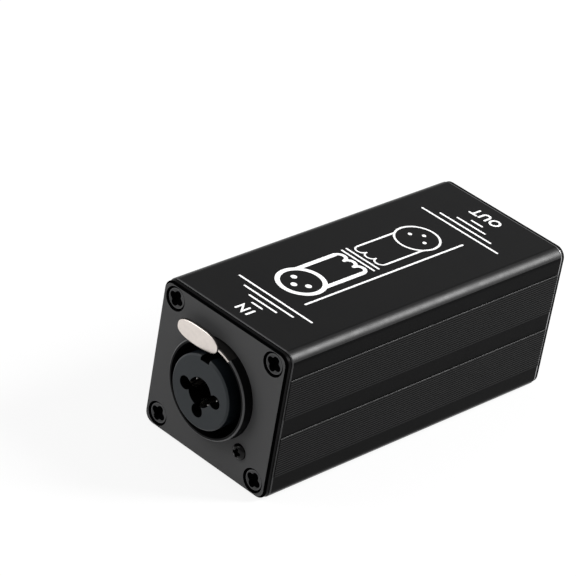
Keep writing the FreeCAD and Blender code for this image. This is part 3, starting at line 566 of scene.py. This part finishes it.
def cross_loops(spot, reach, half, turn, levels, surface, count):
    """Loops of a cross recess in a head whose surface(radius) is given, one for each of the levels."""
    loops = []
    for scale, grow, sunk, finish in levels:
        points = []
        for a in around(count):
            radius = cross_edge(a - math.radians(turn), reach, half) * scale + grow
            points.append(Vector((spot[0] + radius * math.cos(a), surface(radius) + sunk,
                                  spot[1] + radius * math.sin(a))))
        loops.append((points, finish))
    return loops


def corner_screw(work, spot):
    def flat(radius):
        return SUNK
    loops = [(disc(spot, SHANK, SCREW_END, HEAD_POINTS), BARE),
             (disc(spot, SHANK, SUNK + HEAD - SHANK, HEAD_POINTS), BARE)]
    for step in range(HEAD_STEPS + 1):
        angle = math.pi / 2 * step / HEAD_STEPS
        radius = HEAD - HEAD_RIM * (1 - math.cos(angle))
        loops.append((disc(spot, radius, SUNK + HEAD_RIM * (1 - math.sin(angle)), HEAD_POINTS), RIM))
    loops.append((disc(spot, HEAD - HEAD_RIM - HEAD_FLAT, SUNK, HEAD_POINTS), RIM))
    loops += cross_loops(spot, CROSS_REACH, CROSS_HALF, CROSS_TURN, CROSS_LEVELS, flat, HEAD_POINTS)
    loft(work, loops)


def fixing_screw(work, spot):
    def dome(radius):
        return -FIXING_TALL * math.sqrt(max(1 - (radius / FIXING_HEAD) ** 2, 0))
    loops = [(disc(spot, FIXING_SHANK, FIXING_END, DOME_POINTS), BARE),
             (disc(spot, FIXING_SHANK, FIXING_SEAT, DOME_POINTS), BARE),
             (disc(spot, FIXING_HEAD, FIXING_SEAT, DOME_POINTS), BARE)]
    for step in range(1, DOME_STEPS + 1):
        radius = FIXING_HEAD * math.cos(math.radians(DOME_ANGLE * step))
        loops.append((disc(spot, radius, dome(radius), DOME_POINTS), BARE))
    loops += cross_loops(spot, FIXING_REACH, FIXING_HALF, 0, FIXING_LEVELS, dome, DOME_POINTS)
    loft(work, loops)


def add_screws():
    x, z = FIXING_SPOT
    below, above = (x, AXIS_LIFT - z), (-x, AXIS_LIFT + z)
    for name, place, node, screw, finish, spots in (
            ("input_corner_screws", INPUT, "input_plate_screws", corner_screw, screw_black, SCREW_SPOTS),
            ("output_corner_screws", OUTPUT, "output_plate_screws", corner_screw, screw_black, SCREW_SPOTS),
            ("input_dome_screw", INPUT, "input_fixing", fixing_screw, dome_black, [below]),
            ("output_dome_screws", OUTPUT, "output_fixings", fixing_screw, dome_black, [below, above])):
        work = bmesh.new()
        for spot in spots:
            screw(work, spot)
        bmesh.ops.recalc_face_normals(work, faces=work.faces)
        work.transform(place)
        new_piece(name, work, (finish, painted_shade_black, screw_rim_painted_highlight), (node,), sharp=50)


# Connectors: the frame's solids with their edges rounded, with painted highlight on the ring's sloping rim
# and painted shade on the insert's outside and in its bores

RING_RADIUS = 11.65
RING_RIM = 0.6
RING_FRONT = 1.5
RING_FLAT = 0.97
RING_STEEP = 0.15
INSERT_RADIUS = 8.75
INSERT_WALL = 0.3
INSERT_FRONT = 4.4
INSERT_FACE = 0.45
SOFT_RIM = 0.10
HOUSING_OUT = 0.2
INSERT_OUT = 3.9


def axis_radius(point):
    """How far a point lies from the connectors' axis, in millimetres."""
    return math.hypot(point.x, point.z - FACE.z - AXIS_LIFT * MM) / MM


def before_face(distance):
    """A picker of what lies more than a distance in front of the input plate."""
    return lambda point: point.y < FACE.y - distance * MM


def behind_case(point):
    return point.y > BACK_FACE.y


def ring_part(face):
    """The finish of painted highlight on the ring's sloping rim, or the housing's own finish elsewhere."""
    spot = face.calc_center_median()
    sloping = RING_STEEP < abs(face.normal.y) < RING_FLAT
    rim = before_face(RING_FRONT)(spot) and sloping and axis_radius(spot) > RING_RADIUS - RING_RIM
    return 1 if rim else 0


def insert_part(face):
    """The finish of the insert's front, or painted shade: darker on its outside and black in its bores."""
    spot = face.calc_center_median()
    if before_face(INSERT_FRONT - INSERT_FACE)(spot):
        return 0
    return 1 if axis_radius(spot) > INSERT_RADIUS - INSERT_WALL else 2


def add_connectors():
    softened("combo_housing", (housing_black, ring_rim_painted_highlight),
             [(SOFT_RIM, before_face(HOUSING_OUT))], choose=ring_part)
    softened("combo_insert", (insert_grey, insert_side_painted_shade, painted_shade_black),
             [(SOFT_RIM, before_face(INSERT_OUT))], choose=insert_part)
    softened("output_housing", (shell_grey,), [(SOFT_RIM, behind_case)])


# Latch: a leaf-shaped tab before the ring and an arched arm, and the coil that pushes them back

TAB_CENTRE = (-4.7, 11.0)
TAB_HALF = 6.3
TAB_UP = 2.7
TAB_DOWN = 2.3
TAB_POWER = 2.6
TAB_FRONT = -2.9
TAB_BACK = -2.2
TAB_RIM = 0.55
TAB_SHADE = 0.16
TAB_LEAN = 0.75
ARM_INNER = 10.6
ARM_OUTER = 11.5
ARM_REACH = 27.0
ARM_FRONT = -2.5
ARM_LIP = 1.0
ARM_RIM = 0.30
ARM_SHADE = 0.22
ARM_CUT = 0.1
SILVER, SHADED = range(2)


def bulge(share):
    """A sine or cosine bent so that the outline fills out towards its corners."""
    return math.copysign(abs(share) ** (2 / TAB_POWER), share)


def tab_outline(inset, y, count=96):
    """The tab's leaf-like outline, drawn in by inset."""
    points = []
    for a in around(count):
        c, s = math.cos(a), math.sin(a)
        tall = (TAB_UP if s > 0 else TAB_DOWN) - inset
        points.append(Vector((TAB_CENTRE[0] + (TAB_HALF - inset) * bulge(c), y,
                              AXIS_LIFT + TAB_CENTRE[1] + tall * bulge(s))))
    return points


def arm_outline(inset, y, steps=16):
    """The arm's arched section, drawn in by inset."""
    lean = ARM_REACH - math.degrees(inset / ARM_INNER)
    rows = ((ARM_OUTER - inset, lean, -lean), (ARM_INNER + inset, -lean, lean))
    return [Vector((radius * math.sin(math.radians(a + (b - a) * step / steps)), y,
                    AXIS_LIFT + radius * math.cos(math.radians(a + (b - a) * step / steps))))
            for radius, a, b in rows for step in range(steps + 1)]


def rounded(outline, front, back, rim, steps=6):
    """Loops from a flat back to a front with a rounded rim."""
    loops = [(outline(0, back), SILVER), (outline(0, front + rim), SILVER)]
    for step in range(1, steps + 1):
        angle = math.pi / 2 * step / steps
        loops.append((outline(rim * (1 - math.cos(angle)), front + rim * (1 - math.sin(angle))), SILVER))
    return loops


def arm_behind_tab():
    """The frame's own latch, cut off behind the tab, all in the finish of painted shade."""
    work = clean_copy("combo_latch")
    cut = Vector((0, FACE.y + (TAB_BACK + ARM_CUT) * MM, 0))
    bmesh.ops.bisect_plane(work, geom=work.verts[:] + work.edges[:] + work.faces[:], dist=1e-7,
                           plane_co=cut, plane_no=(0, -1, 0), clear_outer=True)
    bmesh.ops.holes_fill(work, edges=[edge for edge in work.edges if edge.is_boundary], sides=0)
    for face in work.faces:
        face.material_index = SHADED
    return work


def latch_front():
    """A mesh of the tab and the front of the arm with rounded rims, with painted shade round their sides
    and on the arm's outer part.
    """
    front = bmesh.new()
    loft(front, rounded(tab_outline, TAB_FRONT, TAB_BACK, TAB_RIM))
    tab_faces = len(front.faces)
    loft(front, rounded(arm_outline, ARM_FRONT, ARM_LIP, ARM_RIM))
    bmesh.ops.recalc_face_normals(front, faces=front.faces)
    for number, face in enumerate(front.faces):
        spot = face.calc_center_median()
        if number < tab_faces:
            dark = spot.y > TAB_FRONT + TAB_SHADE and abs(face.normal.y) < TAB_LEAN
        else:
            outer = math.hypot(spot.x, spot.z - AXIS_LIFT) > ARM_OUTER - ARM_SHADE
            dark = spot.y > ARM_FRONT + ARM_RIM or outer
        face.material_index = SHADED if dark else SILVER
    front.transform(INPUT)
    mesh = bpy.data.meshes.new("latch_front")
    front.to_mesh(mesh)
    front.free()
    return mesh


def add_latch():
    work = arm_behind_tab()
    mesh = latch_front()
    work.from_mesh(mesh)
    bpy.data.meshes.remove(mesh)
    new_piece("combo_latch_soft", work, (latch_silver, latch_shade), ("combo_latch",),
              body="latch")


SPRING_RADIUS = 0.85
SPRING_WIRE = 0.18
SPRING_TURNS = 4
SPRING_HEIGHT = 10.7
SPRING_START = 10.0
SPRING_END = 15.5
TURN_STEPS = 28
WIRE_SIDES = 12


def add_spring():
    """A round-wire coil between the latch's heel and the tower behind it."""
    work = bmesh.new()
    steps = TURN_STEPS * SPRING_TURNS
    rise = SPRING_END - SPRING_START - 2 * SPRING_WIRE
    loops = []
    for step in range(steps + 1):
        turn = 2 * math.pi * SPRING_TURNS * step / steps
        outward = Vector((math.cos(turn), 0, math.sin(turn)))
        centre = Vector((0, SPRING_START + SPRING_WIRE + rise * step / steps, AXIS_LIFT + SPRING_HEIGHT))
        centre += SPRING_RADIUS * outward
        loops.append(([centre + SPRING_WIRE * (math.cos(a) * outward + math.sin(a) * Vector((0, 1, 0)))
                       for a in around(WIRE_SIDES)], 0))
    loft(work, loops)
    bmesh.ops.recalc_face_normals(work, faces=work.faces)
    work.transform(INPUT)
    piece = new_piece("latch_coil", work, (steel,), ("latch_spring",))
    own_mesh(piece)


# Print on the top: bars that shorten towards each end, a transformer's symbol, a line and two plain words

INK = 0.02
LINE = 0.52
BOLD = 1.15
LETTER_LINE = LINE + 0.04
INK_ROOT = 0.05
INK_STEP = 0.00003
CAP_STEPS = 8
SAME_SPOT = 0.001
JOIN_LEAST = 0.4


def stroke(work, points, width=LINE):
    """A flat round-ended line through points on the top, a hair above the line before it.

    Where the last point is the first again, the line is closed."""
    half = width / 2
    height = TUBE_TOP + INK + INK_STEP * len(work.faces)

    def place(point):
        return work.verts.new((point.x, point.y, height))
    points = [Vector(point) for point in points]
    closed = (points[0] - points[-1]).length < SAME_SPOT
    if closed:
        points.pop()
    ways = [(b - a).normalized() for a, b in zip(points, points[1:] + points[:1])]
    rows = []
    for number, point in enumerate(points):
        before, after = ways[number - 1], ways[number]
        if not closed:
            before = after if number == 0 else before
            after = before if number == len(points) - 1 else after
        way = (before + after).normalized()
        reach = half / max(way.dot(after), JOIN_LEAST)
        side = Vector((-way.y, way.x)) * reach
        rows.append([place(point + side), place(point - side)])
    for (a, b), (c, d) in zip(rows, rows[1:] + (rows[:1] if closed else [])):
        work.faces.new((a, b, d, c))
    if closed:
        return
    for point, way, row in ((points[0], -ways[0], rows[0]), (points[-1], ways[-2], rows[-1][::-1])):
        turned = math.atan2(way.y, way.x)
        turns = [turned + math.pi * (step / CAP_STEPS - 0.5) for step in range(1, CAP_STEPS)]
        cap = [place(point + half * Vector((math.cos(turn), math.sin(turn)))) for turn in turns]
        work.faces.new([row[0]] + cap + [row[1]])


def arc(centre, radius, start, end, steps=16):
    """Points of an arc about the centre, with its angles in degrees."""
    angles = [math.radians(start + (end - start) * step / steps) for step in range(steps + 1)]
    return [(centre[0] + radius * math.cos(a), centre[1] + radius * math.sin(a)) for a in angles]


# The bars: each one's place along the top, and its left and right ends
BARS = ((-30.4, -11.0, 11.4), (-32.4, -7.3, 7.6), (-34.3, -3.8, 4.4), (-36.0, -1.2, 1.7),
        (28.6, -11.4, 12.0), (30.6, -7.5, 8.1), (32.65, -4.0, 4.5), (34.6, -1.3, 1.9))
UNDERLINE = ((5.35, -26.3), (5.35, 24.2))
WORDS = (
    # the input end's word
    [(1.6, -40.55), (1.6, -38.1)],
    [(0.15, -38.1), (0.15, -40.5), (-1.7, -38.15), (-1.7, -40.55)],
    # the output end's word, without its round letter
    [(-4.4, 37.2), (-2.45, 37.2)], [(-3.43, 37.2), (-3.43, 39.75)],
    [(-1.6, 37.25)] + arc((-0.67, 38.9), 0.93, 180, 0) + [(0.26, 37.25)],
)
LETTER_O = (2.42, 38.48)
LETTER_HALF = (1.18, 1.24)

SYMBOL_X = -2.1
SYMBOL_Y = -1.6
COIL_HALF = 4.5
COIL_TURNS = 3
COIL_AWAY = 3.6
SOCKET_AWAY = 18.6
SOCKET_RADIUS = 5.3
PIN_AWAY = 2.3
PIN_BOLD = 1.5
PIN_FINE = 1.0
COIL_SHARE = 0.8
CORE_AWAY = 0.75
CORE_OVER = 0.5
DOT = 0.01


def add_symbol(work):
    """A transformer's symbol between a socket's and a plug's, bold at the input and fine at the output."""
    pitch = 2 * COIL_HALF / COIL_TURNS
    for side, width, pin in ((-1, BOLD, PIN_BOLD), (1, LINE, PIN_FINE)):
        coil = SYMBOL_Y + side * COIL_AWAY
        socket = (SYMBOL_X, SYMBOL_Y + side * SOCKET_AWAY)
        for number in range(COIL_TURNS):
            x = SYMBOL_X - COIL_HALF + pitch * (number + 0.5)
            stroke(work, arc((x, coil), pitch / 2, 0, -180 * side, steps=14), COIL_SHARE * width)
        reach = math.sqrt(SOCKET_RADIUS ** 2 - COIL_HALF ** 2)
        for x in (SYMBOL_X - COIL_HALF, SYMBOL_X + COIL_HALF):
            stroke(work, [(x, coil), (x, socket[1] - side * reach)], width)
        stroke(work, arc(socket, SOCKET_RADIUS, 0, 360, steps=60), width)
        for x, y in arc(socket, PIN_AWAY, 0, 180 * side, steps=2):
            stroke(work, [(x - DOT, y), (x + DOT, y)], pin)
    for y in (SYMBOL_Y - CORE_AWAY, SYMBOL_Y + CORE_AWAY):
        stroke(work, [(SYMBOL_X - COIL_HALF - CORE_OVER, y), (SYMBOL_X + COIL_HALF + CORE_OVER, y)])


def add_print():
    work = bmesh.new()
    for y, left, right in BARS:
        stroke(work, [(left, y), (right, y)])
    stroke(work, UNDERLINE)
    for points in WORDS:
        stroke(work, points, LETTER_LINE)
    turns = [math.radians(angle) for angle in range(0, 361, 12)]
    stroke(work, [(LETTER_O[0] + LETTER_HALF[0] * math.cos(a), LETTER_O[1] + LETTER_HALF[1] * math.sin(a))
                  for a in turns], LETTER_LINE)
    add_symbol(work)
    made = bmesh.ops.extrude_face_region(work, geom=work.faces[:], use_keep_orig=True)["geom"]
    lower = [item for item in made if isinstance(item, bmesh.types.BMVert)]
    bmesh.ops.translate(work, verts=lower, vec=(0, 0, -INK - INK_ROOT))
    bmesh.ops.recalc_face_normals(work, faces=work.faces)
    work.transform(Matrix.Translation((0, 0, FACE.z)) @ Matrix.Scale(MM, 4))
    new_piece("top_print", work, (ink_white,))


# Studio

def seen_by_mirrors(tree):
    """1 for what the camera sees, straight or by way of a mirror or glass."""
    path = new_node(tree, "ShaderNodeLightPath")
    seen = path.outputs["Is Camera Ray"]
    for ray in ("Is Glossy Ray", "Is Transmission Ray"):
        either = new_node(tree, "ShaderNodeMath", {"operation": "MAXIMUM"}, i0=seen, i1=path.outputs[ray])
        seen = either.outputs[0]
    return seen


FLOOR_FLAT = 2.0
FLOOR_RIM = 3.2
FLOOR_RISE = 0.7
FLOOR_STEPS = 8
FLOOR_SIDES = 96
FLOOR_GLOW = 0.86
FLOOR_TONE = 0.12
FLOOR_PLAIN = 0.5


def grey(tone):
    return (tone, tone, tone, 1)


def add_floor():
    """A flat pale floor that turns up into a low backdrop all round."""
    work = bmesh.new()
    loops = []
    for step in range(FLOOR_STEPS + 1):
        share = step / FLOOR_STEPS
        radius = FLOOR_FLAT + (FLOOR_RIM - FLOOR_FLAT) * share
        loops.append(([Vector((radius * math.cos(a), radius * math.sin(a), FLOOR_RISE * share ** 2))
                       for a in around(FLOOR_SIDES)], 0))
    loft(work, loops, end_cap=False)
    mesh = bpy.data.meshes.new("floor")
    work.to_mesh(mesh)
    work.free()
    floor = bpy.data.objects.new("floor", mesh)
    bpy.context.scene.collection.objects.link(floor)
    made = bpy.data.materials.new("floor")
    made.use_nodes = True
    tree = made.node_tree
    tree.nodes.clear()
    lit = new_node(tree, "ShaderNodeBsdfDiffuse", Color=grey(FLOOR_TONE))
    glow = new_node(tree, "ShaderNodeEmission", Color=grey(1), Strength=FLOOR_GLOW)
    pale = new_node(tree, "ShaderNodeAddShader", i0=lit.outputs[0], i1=glow.outputs[0])
    plain = new_node(tree, "ShaderNodeBsdfDiffuse", Color=grey(FLOOR_PLAIN))
    mixed = new_node(tree, "ShaderNodeMixShader", i0=seen_by_mirrors(tree), i1=plain.outputs[0],
                     i2=pale.outputs[0])
    new_node(tree, "ShaderNodeOutputMaterial", Surface=mixed.outputs[0])
    mesh.materials.append(made)


AMBIENT = 0.35


def add_world():
    world = bpy.data.worlds.new("studio")
    bpy.context.scene.world = world
    world.use_nodes = True
    tree = world.node_tree
    tree.nodes.clear()
    soft = new_node(tree, "ShaderNodeBackground", Color=grey(1), Strength=AMBIENT)
    new_node(tree, "ShaderNodeOutputWorld", Surface=soft.outputs[0])


def add_lamp(name, direction, distance, width, height, power):
    """A soft rectangular lamp that looks at the object from the direction given."""
    data = bpy.data.lights.new(name, "AREA")
    data.shape = "RECTANGLE"
    data.size = width
    data.size_y = height
    data.energy = power
    lamp = bpy.data.objects.new(name, data)
    bpy.context.scene.collection.objects.link(lamp)
    away = Vector(direction).normalized()
    lamp.location = Vector((0, 0, FACE.z)) + away * distance
    lamp.rotation_mode = "QUATERNION"
    lamp.rotation_quaternion = away.to_track_quat("Z", "Y")


def add_lamps():
    add_lamp("key", (-0.57, -0.48, 0.66), distance=1.2, width=0.9, height=0.9, power=9.0)
    add_lamp("edge", (0.50, 0.65, 0.572), distance=0.9, width=0.22, height=0.50, power=12.6)


def main():
    add_camera()
    finish_nodes()
    add_tube()
    add_plates()
    add_screws()
    add_connectors()
    add_latch()
    add_spring()
    add_print()
    add_floor()
    add_world()
    add_lamps()
    bpy.context.scene.view_settings.view_transform = "Standard"


main()
